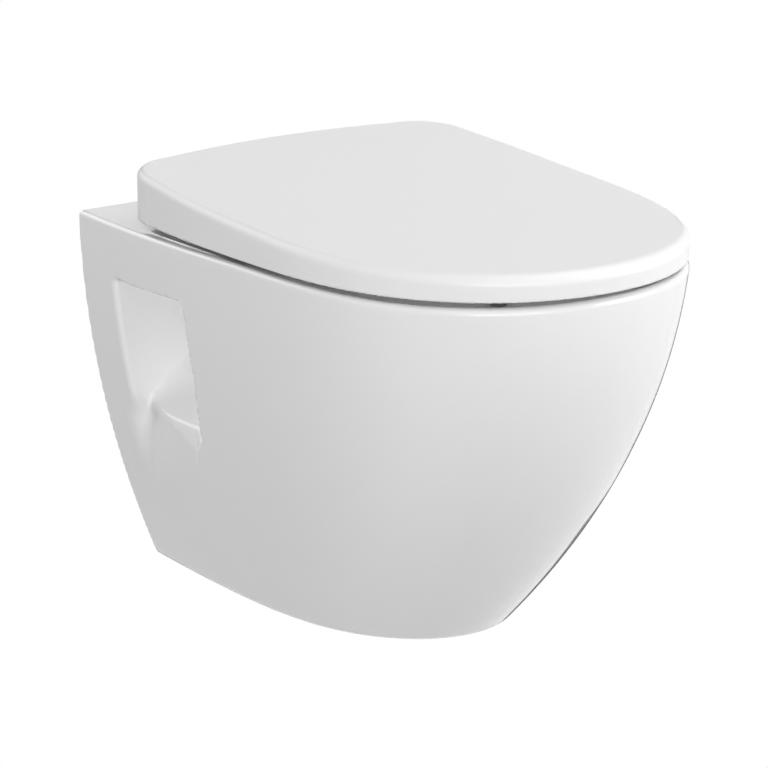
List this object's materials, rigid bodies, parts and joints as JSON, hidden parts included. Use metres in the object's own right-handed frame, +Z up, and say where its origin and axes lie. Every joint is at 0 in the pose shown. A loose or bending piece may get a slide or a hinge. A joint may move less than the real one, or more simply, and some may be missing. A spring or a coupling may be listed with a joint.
{
  "type": "wall hung toilet",
  "caption": "Wall hung ceramic toilet pan with open side recesses, hinged seat ring and thick wedge-shaped wrap-over lid.",
  "frame": {"origin": "midway between the two wall fixing holes, on the wall face of the pan", "axes": "+Z up, +Y into the wall (the front of the pan faces -Y), +X to the right seen from the front"},
  "size_m": [0.3554, 0.5246, 0.3799],
  "materials": {
    "china": "white gloss glaze",
    "lid": "white gloss moulded",
    "ring": "white gloss moulded",
    "buffer": "matt dark grey elastomer",
    "hinge_metal": "polished",
    "steel": "zinc plated",
    "damper": "dark grey",
    "grommet": "black",
    "fitting": "white moulded"
  },
  "bodies": {
    "pan": {"pan": "china", "hinge_base_left": "hinge_metal", "hinge_base_right": "hinge_metal", "hinge_block_left": "hinge_metal", "hinge_block_right": "hinge_metal", "hinge_pin_left": "steel", "hinge_pin_right": "steel", "hinge_bolts": "steel", "hinge_grommets": "grommet", "hinge_washers": "steel", "hinge_wing_nuts": "fitting", "wall_sleeves": "fitting", "wall_washers": "steel", "wall_nuts": "steel", "wall_caps": "fitting"},
    "seat": {"seat_ring": "ring", "seat_buffers": "buffer", "seat_damper": "damper", "seat_bush": "damper"},
    "lid": {"lid": "lid", "lid_buffers": "buffer", "lid_damper": "damper", "lid_bush": "damper"}
  },
  "joints": [
    {"name": "seat_hinge", "type": "hinge", "parent": "pan", "child": "seat", "pos_m": [0, -0.078, 0.114], "axis": [-1, 0, 0], "range_deg": [0, 95]},
    {"name": "lid_hinge", "type": "hinge", "parent": "seat", "child": "lid", "pos_m": [0, -0.078, 0.114], "axis": [-1, 0, 0], "range_deg": [0, 95]}
  ]
}
